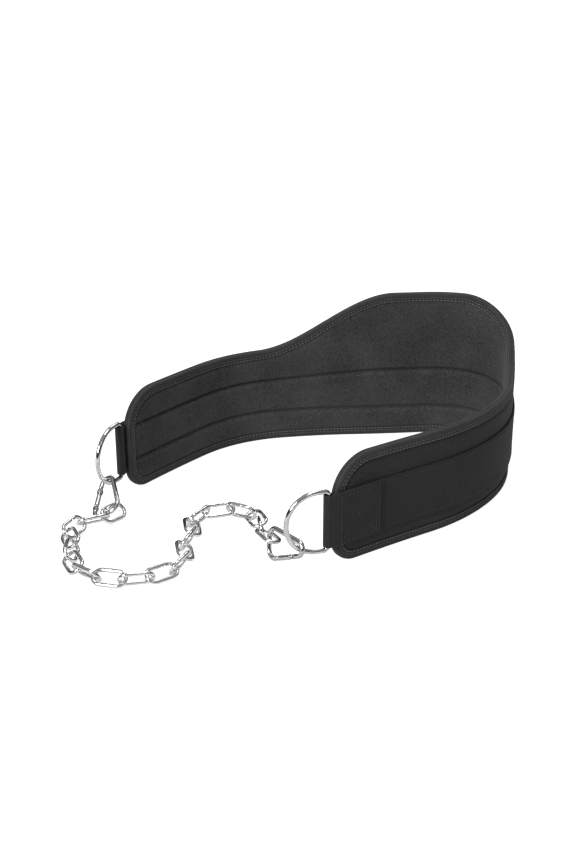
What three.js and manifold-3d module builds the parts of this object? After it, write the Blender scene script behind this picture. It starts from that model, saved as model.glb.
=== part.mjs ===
// A dip belt: a padded waist belt that stands on its lower edge, with a band of webbing sewn round its
// outside, a D-ring held in a loop at each end, two snap hooks and a steel chain lying between them.
// Millimetres, +Z up. The belt's open side faces -Y.
import * as THREE from 'three';
import Module from 'manifold-3d';
import { mergeVertices } from 'three/addons/utils/BufferGeometryUtils.js';

const wasm = await Module();
wasm.setup();

// Driving dimensions of the padded belt
const BELT_LENGTH = 794;
const ARM_HEIGHT = 101;
const BACK_HEIGHT = 158;
const BACK_AT = 363;             // from the left end to the middle of the high back
const BACK_FLAT = 72;            // length of the back at its full height
const BACK_RUN = 144;            // length over which the edge rises to it, on each side
const TOP_CORNER = 40;
const LOW_CORNER = 24;
const PAD_THICKNESS = 8;
const PAD_EDGE = 5;              // thickness of the pad where the binding grips it
const EDGE_RAMP = 4;             // width over which the pad swells to its full thickness
const LOW_SEAM = 33;             // heights of the two sewn channels on the inner face
const HIGH_SEAM = 68;
const SEAM_LIFT = 7;             // how much the upper channel climbs at the back
const SEAM_WIDTH = 7;
const SEAM_DEPTH = 1;
const BINDING_WIDTH = 9;
const BINDING_TAPE = 1;

// Driving dimensions of the webbing, rings, hooks and chain
const WEBBING_WIDTH = 50;
const WEBBING_THICKNESS = 1.8;
const WEBBING_BASE = 21;         // height of the webbing's lower edge
const FOLD_LENGTH = 48;          // webbing folded back and sewn down at each end
const RING_WIRE = 4.6;
const RING_SIDE_PLAY = 1;        // between the webbing's edge and the ring
const RING_STRAIGHT = 6;
const RING_CORNER = 4;
const RING_REACH = 6;            // from the pad's end to the ring's bar
const RING_OFFSET = 2.2;         // from the pad's middle out to the ring's bar
const RING_SWING = { left: 8, right: -18 };        // degrees away from the line of the belt's end
const HOOK_WIRE = 4.6;
const HOOK_LENGTH = 51;
const HOOK_WIDTH = 31;
const HOOK_NOSE_RADIUS = 6.4;    // centre line of the narrow end, which holds the ring
const HOOK_HEEL_RADIUS = 8;      // centre line of the two corners of the wide end
const GATE_WIRE = 4.8;
const GATE_START = 9;            // from the narrow end's arc to the gate's rivet
const GATE_SHORT = 1.4;          // straight leg left between the gate's far end and the wide end's arc
const RIVET_WIRE = 2;
const RIVET_HEAD = 3.2;
const RIVET_HEAD_HEIGHT = 1.05;
const TONGUE = 1.8;              // thickness of the hook's flattened ends
const TONGUE_WIDTH = 3.6;
const LATCH_DEPTH = 3.5;         // how far the hook's far tongue reaches into the gate
const LINK_WIRE = 3.8;
const LINK_LENGTH = 33;
const LINK_WIDTH = 18;
const LINK_COUNT = 20;
const CHAIN_SLACK = 0.975;       // the links' spacing, against a chain pulled tight
const GAP = 0.3;                 // between pieces that touch

// How the belt is bent, seen from above: its heading in degrees, at shares of its length
const BENDS = [
  { share: 0.00, heading: 100 },
  { share: 0.14, heading: 95 },
  { share: 0.26, heading: 56 },
  { share: 0.36, heading: 48 },
  { share: 0.45, heading: 51 },
  { share: 0.50, heading: 28 },
  { share: 0.55, heading: -6 },
  { share: 0.60, heading: -49 },
  { share: 0.66, heading: -56 },
  { share: 0.74, heading: -77 },
  { share: 0.86, heading: -102 },
  { share: 1.00, heading: -98 },
];

// The chain's route between its two end links: along is a share of the straight line between them, and
// out is how far the chain lies to the front of that line, in shares of its length
const CHAIN_ROUTE = [
  { along: -0.07, out: 0.04 },
  { along: -0.15, out: 0.21 },
  { along: -0.09, out: 0.33 },
  { along: -0.03, out: 0.40 },
  { along: 0.01, out: 0.57 },
  { along: 0.17, out: 0.69 },
  { along: 0.32, out: 0.71 },
  { along: 0.49, out: 0.67 },
  { along: 0.59, out: 0.55 },
  { along: 0.68, out: 0.43 },
  { along: 0.57, out: 0.25 },
  { along: 0.61, out: 0.18 },
  { along: 0.60, out: 0.09 },
  { along: 0.53, out: -0.08 },
  { along: 0.58, out: -0.22 },
  { along: 0.69, out: -0.30 },
  { along: 0.81, out: -0.29 },
  { along: 0.93, out: -0.22 },
  { along: 0.94, out: -0.17 },
];

const DEG = Math.PI / 180;
const TAPE_INNER = PAD_EDGE / 2 + 2 * GAP;      // wider than GAP, for the flat facets of the bends
const BINDING_HALF = TAPE_INNER + BINDING_TAPE;
const PAD_INSET = BINDING_TAPE + GAP;
const FACE = Math.max(PAD_THICKNESS / 2, BINDING_HALF) + GAP;      // where the webbing's inner face lies
const RING_RADIUS = WEBBING_WIDTH / 2 + RING_SIDE_PLAY + RING_WIRE / 2;
const RING_HEIGHT = WEBBING_BASE + WEBBING_WIDTH / 2;

const fabric = { color: 0x2e2e30, roughness: 0.95, metalness: 0 };
const looks = {
  pad: { ...fabric, color: 0x353537 },
  binding: { ...fabric, color: 0x242426 },
  webbing: { ...fabric, color: 0x1f1f21 },
  ring: { color: 0xc9cbcf, roughness: 0.15, metalness: 1 },
  hook: { color: 0x9b9da1, roughness: 0.25, metalness: 1 },
  chain: { color: 0xd4d6da, roughness: 0.12, metalness: 1 },
};

const belt = new THREE.Group();

function add(name, geometry, look, parent = belt) {
  const mesh = new THREE.Mesh(geometry, new THREE.MeshStandardMaterial(looks[look]));
  mesh.name = name;
  parent.add(mesh);
  return mesh;
}

function smooth(t) {
  const c = THREE.MathUtils.clamp(t, 0, 1);
  return c * c * (3 - 2 * c);
}

// The plan curve: one arc between each two rows of BENDS, and a straight line past both ends
function arcStep(start, length, turn) {
  if (Math.abs(turn) < 1e-9) {
    return {
      x: start.x + length * Math.cos(start.heading),
      y: start.y + length * Math.sin(start.heading),
      heading: start.heading,
    };
  }
  const radius = length / turn;
  const heading = start.heading + turn;
  return {
    x: start.x + radius * (Math.sin(heading) - Math.sin(start.heading)),
    y: start.y - radius * (Math.cos(heading) - Math.cos(start.heading)),
    heading,
  };
}

const planKnots = [{ s: 0, x: 0, y: 0, heading: BENDS[0].heading * DEG }];
for (let i = 1; i < BENDS.length; i += 1) {
  const length = (BENDS[i].share - BENDS[i - 1].share) * BELT_LENGTH;
  const turn = (BENDS[i].heading - BENDS[i - 1].heading) * DEG;
  const from = planKnots[i - 1];
  planKnots.push({ s: from.s + length, ...arcStep(from, length, turn) });
}

function planAt(s) {
  if (s <= 0) {
    return arcStep(planKnots[0], s, 0);
  }
  const last = planKnots[planKnots.length - 1];
  if (s >= last.s) {
    return arcStep(last, s - last.s, 0);
  }
  const i = planKnots.findIndex((knot) => knot.s > s) - 1;
  const from = planKnots[i];
  const to = planKnots[i + 1];
  const part = (s - from.s) / (to.s - from.s);
  return arcStep(from, s - from.s, part * (to.heading - from.heading));
}

// A point of the belt: s along it, out from its middle to the outside of the bend, z up
function place(s, out, z) {
  const p = planAt(s);
  return new THREE.Vector3(p.x - Math.sin(p.heading) * out, p.y + Math.cos(p.heading) * out, z);
}

function topHeight(s) {
  const rise = (BACK_FLAT / 2 + BACK_RUN - Math.abs(s - BACK_AT)) / BACK_RUN;
  return ARM_HEIGHT + (BACK_HEIGHT - ARM_HEIGHT) * smooth(rise);
}

function slopeAt(s) {
  return topHeight(s + 0.5) - topHeight(s - 0.5);
}

// The lower and upper edge at s, for an outline that lies inset inside the belt's own
function edgeHeights(s, inset) {
  const fromEnd = Math.min(s, BELT_LENGTH - s) - inset;
  const corner = (radius) => {
    const r = radius - inset;
    const run = Math.max(r - fromEnd, 0);
    return r - Math.sqrt(Math.max(r * r - run * run, 0));
  };
  return {
    low: inset + corner(LOW_CORNER),
    high: topHeight(s) - inset * Math.hypot(1, slopeAt(s)) - corner(TOP_CORNER),
  };
}

// Stations along the belt: close together round the corners of its ends and where it bends
const CORNER_STEPS = 6;
const LONGEST_STEP = 24;
const WIDEST_TURN = 7 * DEG;
const WIDEST_CLIMB = 0.18;       // change of the upper edge's slope from one station to the next
const stations = [];
for (let i = 0; i <= CORNER_STEPS; i += 1) {
  stations.push(PAD_INSET + (TOP_CORNER - PAD_INSET) * (1 - Math.cos((i / CORNER_STEPS) * Math.PI / 2)));
}
let stationAt = TOP_CORNER;
for (let s = TOP_CORNER; s < BELT_LENGTH - TOP_CORNER; s += 1) {
  const turned = Math.abs(planAt(s).heading - planAt(stationAt).heading);
  const climbed = Math.abs(slopeAt(s) - slopeAt(stationAt));
  if (s - stationAt >= LONGEST_STEP || turned >= WIDEST_TURN || climbed >= WIDEST_CLIMB) {
    stations.push(s);
    stationAt = s;
  }
}
for (let i = CORNER_STEPS; i >= 0; i -= 1) {
  stations.push(BELT_LENGTH - stations[i]);
}

// Joins rings of points into one closed skin. Open ends get a ladder of faces across the ring.
function skin(rings, closed) {
  const count = rings[0].length;
  const positions = rings.flat().flatMap((p) => [p.x, p.y, p.z]);
  const index = [];
  const bands = closed ? rings.length : rings.length - 1;
  for (let i = 0; i < bands; i += 1) {
    const here = i * count;
    const next = ((i + 1) % rings.length) * count;
    for (let j = 0; j < count; j += 1) {
      const k = (j + 1) % count;
      index.push(here + j, next + j, next + k, here + j, next + k, here + k);
    }
  }
  if (!closed) {
    const far = (rings.length - 1) * count;
    for (let j = 0; j < count / 2 - 1; j += 1) {
      const other = count - 1 - j;
      index.push(j, j + 1, other - 1, j, other - 1, other);
      index.push(far + j, far + other - 1, far + j + 1, far + j, far + other, far + other - 1);
    }
  }
  const geometry = new THREE.BufferGeometry();
  geometry.setAttribute('position', new THREE.Float32BufferAttribute(positions, 3));
  geometry.setIndex(index);
  return facingOut(geometry);
}

// Turns a closed geometry's faces over if they point in
function facingOut(geometry) {
  const p = geometry.attributes.position;
  const index = geometry.index.array;
  const corners = [new THREE.Vector3(), new THREE.Vector3(), new THREE.Vector3()];
  let volume = 0;
  for (let i = 0; i < index.length; i += 3) {
    corners.forEach((corner, j) => corner.fromBufferAttribute(p, index[i + j]));
    volume += corners[0].dot(corners[1].clone().cross(corners[2]));
  }
  if (volume < 0) {
    for (let i = 0; i < index.length; i += 3) {
      [index[i + 1], index[i + 2]] = [index[i + 2], index[i + 1]];
    }
  }
  return geometry;
}

// Solids for joining and cutting
function solid(geometry) {
  const plain = geometry.clone();
  plain.deleteAttribute('normal');
  plain.deleteAttribute('uv');
  const merged = mergeVertices(plain, 1e-4);
  return new wasm.Manifold(new wasm.Mesh({
    numProp: 3,
    vertProperties: merged.attributes.position.array,
    triVerts: new Uint32Array(merged.index.array),
  }));
}

function geometryOf(manifold) {
  const mesh = manifold.getMesh();
  const geometry = new THREE.BufferGeometry();
  geometry.setAttribute('position', new THREE.Float32BufferAttribute(mesh.vertProperties, 3));
  geometry.setIndex([...mesh.triVerts]);
  return geometry;
}

// How far a point of the panel lies inside the belt's own outline
function edgeDistance(s, z) {
  const fromEnd = Math.min(s, BELT_LENGTH - s);
  const toEdge = (depth, radius) => {
    const inCorner = fromEnd < radius && depth < radius;
    return inCorner ? radius - Math.hypot(radius - fromEnd, radius - depth) : Math.min(fromEnd, depth);
  };
  const fromTop = (topHeight(s) - z) / Math.hypot(1, slopeAt(s));
  return Math.min(toEdge(z, LOW_CORNER), toEdge(fromTop, TOP_CORNER));
}

// The padded panel, thin where the binding grips it, with two channels pressed into its inner face
const CORNER_GRIP = 12;          // extra width that stays thin round the ends' corners
function padRing(s) {
  const { low, high } = edgeHeights(s, PAD_INSET);
  const top = topHeight(s);
  const lift = SEAM_LIFT * (top - ARM_HEIGHT) / (BACK_HEIGHT - ARM_HEIGHT);
  const grip = BINDING_WIDTH + 2 * PAD_INSET + (Math.min(s, BELT_LENGTH - s) < TOP_CORNER ? CORNER_GRIP : 0);
  const heights = [0, BINDING_WIDTH, BINDING_WIDTH + EDGE_RAMP];
  for (const seam of [LOW_SEAM, HIGH_SEAM + lift]) {
    heights.push(seam - SEAM_WIDTH / 2, seam, seam + SEAM_WIDTH / 2);
  }
  const lean = Math.hypot(1, slopeAt(s));
  heights.push(top - (BINDING_WIDTH + EDGE_RAMP) * lean, top - BINDING_WIDTH * lean, top);
  const rows = heights.map((height) => {
    const z = low + (high - low) * height / top;
    const swell = THREE.MathUtils.clamp((edgeDistance(s, z) - grip) / EDGE_RAMP, 0, 1);
    const isSeam = height === LOW_SEAM || height === HIGH_SEAM + lift;
    const half = PAD_EDGE / 2 + (PAD_THICKNESS - PAD_EDGE) / 2 * swell;
    return { z, outer: half, inner: (isSeam ? SEAM_DEPTH * swell : 0) - half };
  });
  const outer = rows.map((row) => place(s, row.outer, row.z));
  const inner = rows.map((row) => place(s, row.inner, row.z));
  return [...outer, ...inner.reverse()];
}

add('belt_pad', skin(stations.map(padRing), false), 'pad');

// The binding: a folded tape that grips the pad's edge all the way round
const TAPE_CORNER_STEPS = 8;
function outlinePoints() {
  const inner = stations.filter((s) => s > TOP_CORNER && s < BELT_LENGTH - TOP_CORNER);
  const corner = (s, z, radius, from) => {
    const points = [];
    for (let i = 0; i <= TAPE_CORNER_STEPS; i += 1) {
      const a = (from + 90 * i / TAPE_CORNER_STEPS) * DEG;
      const ns = Math.cos(a);
      const nz = Math.sin(a);
      points.push({ s: s + radius * ns, z: z + radius * nz, ns, nz });
    }
    return points;
  };
  const right = BELT_LENGTH;
  const bottom = inner.map((s) => ({ s, z: 0, ns: 0, nz: -1 }));
  const top = inner.map((s) => {
    const slope = slopeAt(s);
    const long = Math.hypot(1, slope);
    return { s, z: topHeight(s), ns: -slope / long, nz: 1 / long };
  }).reverse();
  return [
    ...bottom,
    ...corner(right - LOW_CORNER, LOW_CORNER, LOW_CORNER, -90),
    ...corner(right - TOP_CORNER, ARM_HEIGHT - TOP_CORNER, TOP_CORNER, 0),
    ...top,
    ...corner(TOP_CORNER, ARM_HEIGHT - TOP_CORNER, TOP_CORNER, 90),
    ...corner(LOW_CORNER, LOW_CORNER, LOW_CORNER, 180),
  ];
}

const EDGE_FLAT = 0.55;          // flat share of the binding's outer edge, between its two bevels
const bindingSection = [
  { deep: BINDING_WIDTH, out: BINDING_HALF },
  { deep: BINDING_TAPE + GAP, out: BINDING_HALF },
  { deep: 0, out: BINDING_HALF * EDGE_FLAT },
  { deep: 0, out: -BINDING_HALF * EDGE_FLAT },
  { deep: BINDING_TAPE + GAP, out: -BINDING_HALF },
  { deep: BINDING_WIDTH, out: -BINDING_HALF },
  { deep: BINDING_WIDTH, out: -TAPE_INNER },
  { deep: BINDING_TAPE, out: -TAPE_INNER },
  { deep: BINDING_TAPE, out: TAPE_INNER },
  { deep: BINDING_WIDTH, out: TAPE_INNER },
];
const bindingRings = outlinePoints().map((p) => bindingSection.map(
  (corner) => place(p.s - p.ns * corner.deep, corner.out, p.z - p.nz * corner.deep)));
add('edge_binding', skin(bindingRings, true), 'binding');

// The webbing: one band round the outside, folded back over the bar of each D-ring
function bandPath() {
  const fold = FACE + WEBBING_THICKNESS * 1.5 + GAP;
  const run = FACE + WEBBING_THICKNESS / 2;
  const radius = RING_WIRE / 2 + GAP + WEBBING_THICKNESS / 2;
  const TURN_STEPS = 10;
  // The angle round the bar at which a straight piece from a point beside it touches the loop
  const touch = (beyond, out, side) => {
    const away = Math.hypot(RING_REACH - beyond, out - RING_OFFSET);
    return Math.atan2(out - RING_OFFSET, RING_REACH - beyond) + side * Math.acos(radius / away);
  };
  const loop = (sign, start) => {
    const from = touch(-WEBBING_THICKNESS, fold, 1);
    const to = touch(WEBBING_THICKNESS / 2, run, -1) + 2 * Math.PI;
    const points = [
      { s: start + sign * FOLD_LENGTH, out: fold },
      { s: start + sign * FOLD_LENGTH / 2, out: fold },
      { s: start + sign * WEBBING_THICKNESS, out: fold },
    ];
    for (let i = 0; i <= TURN_STEPS; i += 1) {
      const a = from + (to - from) * i / TURN_STEPS;
      points.push({
        s: start + sign * (radius * Math.cos(a) - RING_REACH),
        out: RING_OFFSET + radius * Math.sin(a),
      });
    }
    points.push({ s: start - sign * WEBBING_THICKNESS / 2, out: run });
    return points;
  };
  return [
    ...loop(1, 0),
    ...stations.slice(1, -1).map((s) => ({ s, out: run })),
    ...loop(-1, BELT_LENGTH).reverse(),
  ];
}

function bandOutline() {
  const path = bandPath();
  const middle = path.map((p) => place(p.s, p.out, 0));
  const half = WEBBING_THICKNESS / 2;
  const offset = (i, side) => {
    const before = middle[Math.max(i - 1, 0)];
    const here = middle[i];
    const after = middle[Math.min(i + 1, middle.length - 1)];
    const a = here.clone().sub(i > 0 ? before : here.clone().multiplyScalar(2).sub(after)).normalize();
    const b = (i < middle.length - 1 ? after.clone().sub(here) : a.clone()).normalize();
    const along = a.clone().add(b).normalize();
    const reach = half / Math.max(along.dot(a), 0.5);
    return new THREE.Vector2(here.x - along.y * reach * side, here.y + along.x * reach * side);
  };
  const left = middle.map((_, i) => offset(i, 1));
  const right = middle.map((_, i) => offset(i, -1)).reverse();
  return new THREE.Shape([...left, ...right]);
}

const band = new THREE.ExtrudeGeometry(bandOutline(), { depth: WEBBING_WIDTH, bevelEnabled: false });
band.translate(0, 0, WEBBING_BASE);
add('webbing_strap', band, 'webbing');

// Wire bent in one plane: stations with a point and the normal that the section's width follows
function arc(cx, cy, radius, from, to, steps) {
  const points = [];
  for (let i = 0; i <= steps; i += 1) {
    const a = (from + (to - from) * i / steps) * DEG;
    const nx = Math.cos(a);
    const ny = Math.sin(a);
    points.push({ x: cx + radius * nx, y: cy + radius * ny, nx, ny });
  }
  return points;
}

function wire(path, radius, sides, closed) {
  const rings = path.map((p) => {
    const ring = [];
    for (let j = 0; j < sides; j += 1) {
      const a = ((j + 0.5) / sides) * 2 * Math.PI;
      const wide = radius * Math.cos(a);
      ring.push(new THREE.Vector3(p.x + p.nx * wide, p.y + p.ny * wide, radius * Math.sin(a)));
    }
    return ring;
  });
  return skin(rings, closed);
}

// A frame whose X is the first direction and whose Z is as near the second as it can be
function basis(origin, along, up) {
  const x = along.clone().normalize();
  const y = up.clone().cross(x).normalize();
  const z = x.clone().cross(y);
  return new THREE.Matrix4().makeBasis(x, y, z).setPosition(origin);
}

// The D-rings: X out from the bar, Y up
const RING_SIDES = 10;
const ringMiddle = RING_CORNER + RING_STRAIGHT;
const ringPath = [
  ...arc(RING_CORNER, RING_CORNER - RING_RADIUS, RING_CORNER, 180, 270, 3),
  ...arc(ringMiddle, 0, RING_RADIUS, -90, 90, 14),
  ...arc(RING_CORNER, RING_RADIUS - RING_CORNER, RING_CORNER, 90, 180, 3),
];

function ringFrame(end) {
  const s = end === 'left' ? 0 : BELT_LENGTH;
  const bar = place(s + (end === 'left' ? -RING_REACH : RING_REACH), RING_OFFSET, RING_HEIGHT);
  const away = planAt(s).heading + (end === 'left' ? Math.PI : 0) + RING_SWING[end] * DEG;
  const out = new THREE.Vector3(Math.cos(away), Math.sin(away), 0);
  const up = new THREE.Vector3(0, 0, 1);
  return new THREE.Matrix4().makeBasis(out, up, out.clone().cross(up)).setPosition(bar);
}

const ringFrames = { left: ringFrame('left'), right: ringFrame('right') };
for (const end of ['left', 'right']) {
  const ring = add(`d_ring_${end}`, wire(ringPath, RING_WIRE / 2, RING_SIDES, true), 'ring');
  ring.applyMatrix4(ringFrames[end]);
}

// The snap hook: X from its narrow end to its wide end, Y across, Z through it
const HOOK_SIDES = 10;
const noseSide = HOOK_NOSE_RADIUS;
const heelX = HOOK_LENGTH - HOOK_WIRE - noseSide - HOOK_HEEL_RADIUS;
const heelY = (HOOK_WIDTH - HOOK_WIRE) / 2 - HOOK_HEEL_RADIUS;
const heelFar = Math.hypot(heelX, heelY);
const legAngle = (Math.atan2(heelY, heelX) + Math.acos((noseSide - HOOK_HEEL_RADIUS) / heelFar)) / DEG;
const legStart = arc(0, 0, noseSide, -legAngle, -legAngle, 1)[0];
const legNormal = new THREE.Vector2(legStart.nx, legStart.ny);
const legAlong = new THREE.Vector2(-legNormal.y, legNormal.x);
const legLength = Math.sqrt(heelFar ** 2 - (noseSide - HOOK_HEEL_RADIUS) ** 2);

function onLeg(t) {
  return {
    x: legStart.x + legAlong.x * t,
    y: legStart.y + legAlong.y * t,
    nx: legNormal.x,
    ny: legNormal.y,
  };
}

// Moves a shape made with X along the gate's leg to its place t on that leg
function toLeg(geometry, t) {
  const at = onLeg(t);
  const turn = Math.atan2(legAlong.y, legAlong.x);
  return solid(geometry.applyMatrix4(
    new THREE.Matrix4().makeRotationZ(turn).setPosition(at.x, at.y, 0)));
}

function pinGeometry(radius, length, sides) {
  return new THREE.CylinderGeometry(radius, radius, length, sides).rotateX(Math.PI / 2);
}

const latchAt = legLength - GATE_SHORT;
const gateLength = latchAt - GATE_START;

function hookBody() {
  const nearLatch = latchAt + 2 * GAP;
  const wirePath = [
    onLeg(nearLatch),
    ...arc(heelX, -heelY, HOOK_HEEL_RADIUS, -legAngle, 0, 5),
    ...arc(heelX, heelY, HOOK_HEEL_RADIUS, 0, legAngle, 5),
    ...arc(0, 0, noseSide, legAngle, 360 - legAngle, 8),
    onLeg(GATE_START - GATE_WIRE / 2 - 2 * GAP),
  ];
  const tongueRadius = GATE_WIRE / 2 - GAP;
  const shank = new THREE.BoxGeometry(GATE_WIRE, 2 * tongueRadius, TONGUE);
  shank.translate(-GATE_WIRE / 2, 0, 0);
  const latch = new THREE.BoxGeometry(2 * LATCH_DEPTH, TONGUE_WIDTH, TONGUE);
  const body = solid(wire(wirePath, HOOK_WIRE / 2, HOOK_SIDES, false))
    .add(toLeg(shank, GATE_START))
    .add(toLeg(pinGeometry(tongueRadius, TONGUE, 12), GATE_START))
    .subtract(toLeg(pinGeometry(RIVET_WIRE / 2 + GAP, TONGUE * 2, 10), GATE_START))
    .add(toLeg(latch, nearLatch));
  return geometryOf(body);
}

// The gate: a round bar, slotted at both ends, with its rivet
function hookGate() {
  const radius = GATE_WIRE / 2;
  const heel = GATE_WIRE * 0.45;
  const bar = new THREE.CylinderGeometry(radius, radius, gateLength + heel, 12).rotateZ(Math.PI / 2);
  bar.translate((gateLength - heel) / 2, 0, 0);
  const slotWidth = TONGUE + 2 * GAP;
  const hingeSlot = new THREE.BoxGeometry(2 * GATE_WIRE, 2 * GATE_WIRE, slotWidth);
  const latchSlot = new THREE.BoxGeometry(2 * (LATCH_DEPTH + GAP), 2 * GATE_WIRE, slotWidth);
  const headLength = GATE_WIRE + 2 * GAP;
  const gate = toLeg(bar, GATE_START)
    .subtract(toLeg(hingeSlot, GATE_START))
    .subtract(toLeg(latchSlot, latchAt))
    .add(toLeg(pinGeometry(RIVET_WIRE / 2, headLength, 10), GATE_START));
  const head = (side) => {
    const disc = pinGeometry(RIVET_HEAD / 2, RIVET_HEAD_HEIGHT, 10);
    disc.translate(0, 0, side * headLength / 2);
    return toLeg(disc, GATE_START);
  };
  return geometryOf(gate.add(head(1)).add(head(-1)));
}

// Where each hook hangs: an angle round its ring below the ring's middle, the way it leans in plan, and
// its roll about its own length. It leans over until its wide end rests on the ground.
const HOOK_SEATS = {
  left: { ringAngle: -59, heading: -41, roll: 2 },
  right: { ringAngle: -54, heading: 175, roll: 154 },
};

function hookFrame(end) {
  const seat = HOOK_SEATS[end];
  const a = seat.ringAngle * DEG;
  const onRing = new THREE.Vector3(
    ringMiddle + RING_RADIUS * Math.cos(a), RING_RADIUS * Math.sin(a), 0).applyMatrix4(ringFrames[end]);
  const wireLine = new THREE.Vector3(-Math.sin(a), Math.cos(a), 0).transformDirection(ringFrames[end]);
  const heading = seat.heading * DEG;
  const leaning = (fall) => {
    const along = new THREE.Vector3(
      Math.cos(fall) * Math.cos(heading), Math.cos(fall) * Math.sin(heading), -Math.sin(fall));
    const across = along.clone().cross(wireLine).length();
    const inNose = noseSide - ((RING_WIRE + HOOK_WIRE) / 2 + GAP) / across;
    return basis(onRing.clone().addScaledVector(along, inNose), along, wireLine)
      .multiply(new THREE.Matrix4().makeRotationX(seat.roll * DEG));
  };
  const lowest = (frame) => {
    const [, , xz, , , , yz] = frame.elements;
    const corner = (y) => new THREE.Vector3(heelX, y, 0).applyMatrix4(frame).z;
    return Math.min(corner(heelY), corner(-heelY)) - HOOK_HEEL_RADIUS * Math.hypot(xz, yz) - HOOK_WIRE / 2;
  };
  let up = 0;
  let down = Math.PI / 2;
  for (let i = 0; i < 30; i += 1) {
    const fall = (up + down) / 2;
    if (lowest(leaning(fall)) > GAP) {
      up = fall;
    } else {
      down = fall;
    }
  }
  return leaning(up);
}

const hookFrames = { left: hookFrame('left'), right: hookFrame('right') };
for (const end of ['left', 'right']) {
  add(`hook_${end}`, hookBody(), 'hook').applyMatrix4(hookFrames[end]);
  add(`hook_gate_${end}`, hookGate(), 'hook').applyMatrix4(hookFrames[end]);
}

// The chain: its two end links hang in the hooks' wide ends, and the others follow the route between
// them, each turned about a quarter round from the last
const LINK_SIDES = 6;
const linkHalf = (LINK_LENGTH - LINK_WIDTH) / 2;
const linkTurn = (LINK_WIDTH - LINK_WIRE) / 2;
const linkPitch = (LINK_LENGTH - 2 * LINK_WIRE) * CHAIN_SLACK;
const linkPath = [
  ...arc(linkHalf, 0, linkTurn, -90, 90, 5),
  ...arc(-linkHalf, 0, linkTurn, 90, 270, 5),
];

// Where the end links lie in their hooks' frames: ahead of the wide end, to its side, above it, and
// turned in degrees. toChain says which end of the link leads on to the chain.
const END_LINKS = {
  left: { ahead: -0.2, side: 6.2, above: -3.4, turn: [113.1, -39.1, -21.2], toChain: 1 },
  right: { ahead: 7.1, side: 4.5, above: 3.9, turn: [-89.8, 10.4, -165.6], toChain: -1 },
};

function endLink(end) {
  const { ahead, side, above, turn, toChain } = END_LINKS[end];
  const turned = new THREE.Euler(...turn.map((angle) => angle * DEG), 'ZYX');
  const local = new THREE.Matrix4().makeRotationFromEuler(turned);
  local.setPosition(heelX + HOOK_HEEL_RADIUS + ahead, side, above);
  const frame = hookFrames[end].clone().multiply(local);
  const along = new THREE.Vector3().setFromMatrixColumn(frame, 0);
  const normal = new THREE.Vector3().setFromMatrixColumn(frame, 2);
  const flat = basis(new THREE.Vector3(), along, new THREE.Vector3(0, 0, 1));
  const level = new THREE.Vector3().setFromMatrixColumn(flat, 1);
  const upright = new THREE.Vector3().setFromMatrixColumn(flat, 2);
  return {
    frame,
    joint: new THREE.Vector3(toChain * linkPitch / 2, 0, 0).applyMatrix4(frame),
    roll: toChain * Math.atan2(-normal.dot(level), normal.dot(upright)) / DEG,
  };
}

const endLinks = { left: endLink('left'), right: endLink('right') };

// The route between the two end links, as a dense row of points
function chainRoute() {
  const start = endLinks.left.joint;
  const finish = endLinks.right.joint;
  const chord = finish.clone().sub(start);
  const front = new THREE.Vector3(chord.y, -chord.x, 0);
  const middle = CHAIN_ROUTE.map(({ along, out }) => (
    start.clone().addScaledVector(chord, along).addScaledVector(front, out).setZ(chainHeight(0))));
  return new THREE.CatmullRomCurve3([start, ...middle, finish], false, 'centripetal').getPoints(600);
}

function chainHeight(roll) {
  const across = Math.max(Math.abs(Math.sin(roll * DEG)), Math.abs(Math.cos(roll * DEG)));
  return GAP + LINK_WIRE / 2 + linkTurn * across;
}

// Joints at steps of equal length along the route
function walk(route, step, count) {
  const joints = [route[0]];
  let i = 1;
  while (i < route.length && joints.length < count) {
    const from = joints[joints.length - 1];
    const near = route[i - 1].distanceTo(from);
    const far = route[i].distanceTo(from);
    if (far < step) {
      i += 1;
    } else {
      joints.push(route[i - 1].clone().lerp(route[i], (step - near) / (far - near)));
    }
  }
  return joints;
}

// The links between the two end links share the route in equal steps
function chainJoints() {
  const route = chainRoute();
  const finish = route[route.length - 1];
  const count = LINK_COUNT - 2;
  let short = linkPitch * 0.8;
  let long = linkPitch * 1.2;
  for (let i = 0; i < 40; i += 1) {
    const step = (short + long) / 2;
    const joints = walk(route, step, count);
    const reached = joints.length === count && joints[count - 1].distanceTo(finish) > step;
    if (reached) {
      short = step;
    } else {
      long = step;
    }
  }
  return [...walk(route, short, count), finish];
}

const joints = chainJoints();
const turns = joints.length;
const twist = endLinks.right.roll - endLinks.left.roll - 90 * turns;
const drift = (twist - 180 * Math.round(twist / 180)) / turns;

function addLink(number, frame) {
  const name = `chain_link_${String(number).padStart(2, '0')}`;
  add(name, wire(linkPath, LINK_WIRE / 2, LINK_SIDES, true), 'chain').applyMatrix4(frame);
}

addLink(1, endLinks.left.frame);
for (let i = 1; i < joints.length; i += 1) {
  const along = joints[i].clone().sub(joints[i - 1]);
  const middle = joints[i].clone().add(joints[i - 1]).multiplyScalar(0.5);
  const roll = endLinks.left.roll + i * (90 + drift);
  addLink(i + 1, basis(middle, along, new THREE.Vector3(0, 0, 1))
    .multiply(new THREE.Matrix4().makeRotationX(roll * DEG)));
}
addLink(joints.length + 1, endLinks.right.frame);

// The belt is centred over its origin and stands on its lower edge
const box = new THREE.Box3().setFromObject(belt, true);
const centre = box.getCenter(new THREE.Vector3());
belt.position.set(-centre.x, -centre.y, -box.min.z);
belt.updateMatrixWorld(true);

export default belt;
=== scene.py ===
import math

import bmesh
import bpy
from mathutils import Matrix, Vector, noise


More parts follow.
